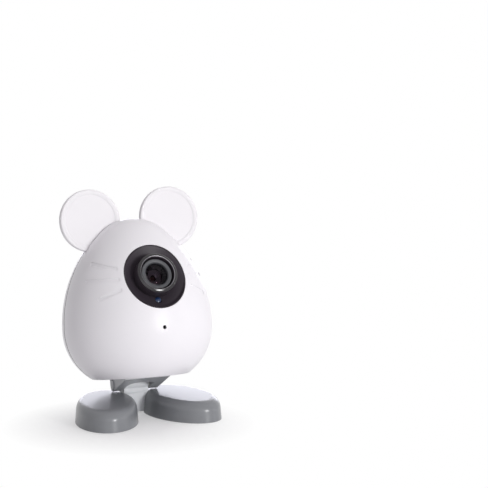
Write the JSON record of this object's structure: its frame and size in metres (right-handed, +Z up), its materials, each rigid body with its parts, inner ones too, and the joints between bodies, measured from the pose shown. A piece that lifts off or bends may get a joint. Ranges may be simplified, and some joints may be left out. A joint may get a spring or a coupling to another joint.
{
  "type": "pet camera",
  "caption": "Indoor pet camera with an egg-shaped head, round ears and a black lens window, tilting on a neck between two oval feet.",
  "frame": {"origin": "on the floor, under the middle of the camera's bounding box", "axes": "+Z up, -Y the way the lens looks, +X to the right of someone who faces the lens"},
  "size_m": [0.078, 0.0782, 0.1181],
  "materials": {
    "shell_white": "glossy white moulding",
    "window_black": "glossy black moulding",
    "barrel_black": "matt black moulding",
    "lens_glass": "coated glass",
    "foot_grey": "glossy grey moulding",
    "neck_grey": "satin light grey moulding",
    "base_grey": "satin grey moulding",
    "pad_rubber": "soft dark rubber",
    "steel": "plated steel",
    "board_green": "lacquered board",
    "chip_black": "moulded package",
    "coil_copper": "copper",
    "heat_alloy": "anodised alloy",
    "emitter_clear": "clear moulded body",
    "indicator_blue": "tinted light pipe",
    "washer_nylon": "natural nylon",
    "speaker_black": "black moulding and paper",
    "magnet_grey": "sintered magnet",
    "cable_film": "polyimide film"
  },
  "bodies": {
    "stand": {"stand_neck": "neck_grey", "left_foot": "foot_grey", "right_foot": "foot_grey", "left_foot_base": "base_grey", "right_foot_base": "base_grey", "left_foot_weight": "steel", "right_foot_weight": "steel", "foot_pads": "pad_rubber", "foot_screws": "steel", "friction_washers": "washer_nylon"},
    "head": {"front_shell": "shell_white", "rear_shell": "shell_white", "left_ear": "shell_white", "right_ear": "shell_white", "lens_bezel": "window_black", "lens_shroud": "window_black", "lens_barrel": "barrel_black", "lens_holder": "barrel_black", "filter_housing": "barrel_black", "filter_cover": "barrel_black", "front_lens": "lens_glass", "rear_lens": "lens_glass", "tilt_bracket": "foot_grey", "hinge_caps": "base_grey", "microphone_boot": "pad_rubber", "speaker_gasket": "pad_rubber", "sensor_screws": "steel", "board_screws": "steel", "bracket_screws": "steel", "shell_screws": "steel", "hinge_pin": "steel", "clamp_plate": "steel", "usb_socket": "steel", "card_socket": "steel", "wifi_module": "steel", "microphone": "steel", "main_board": "board_green", "sensor_board": "board_green", "led_board": "board_green", "processor": "chip_black", "image_sensor": "chip_black", "reset_switch": "chip_black", "filter_coil": "coil_copper", "antenna": "coil_copper", "heat_spreader": "heat_alloy", "infrared_leds": "emitter_clear", "status_light": "indicator_blue", "speaker_frame": "speaker_black", "speaker_cone": "speaker_black", "speaker_magnet": "magnet_grey", "sensor_ribbon": "cable_film"},
    "filter": {"filter_slider": "barrel_black", "infrared_filter": "lens_glass", "clear_filter": "lens_glass"},
    "button": {"reset_button": "base_grey"}
  },
  "joints": [
    {"name": "head_tilt", "type": "hinge", "parent": "stand", "child": "head", "pos_m": [0, 0.00462, 0.01565], "axis": [-1, 0, 0], "range_deg": [-20, 20]},
    {"name": "filter_shift", "type": "slide", "parent": "head", "child": "filter", "axis": [-1, 0, 0], "range_m": [0, 0.0068]},
    {"name": "reset_press", "type": "slide", "parent": "head", "child": "button", "axis": [0, -0.9857, 0.1685], "range_m": [0, 0.0006], "stiffness_N_per_m": 500}
  ]
}
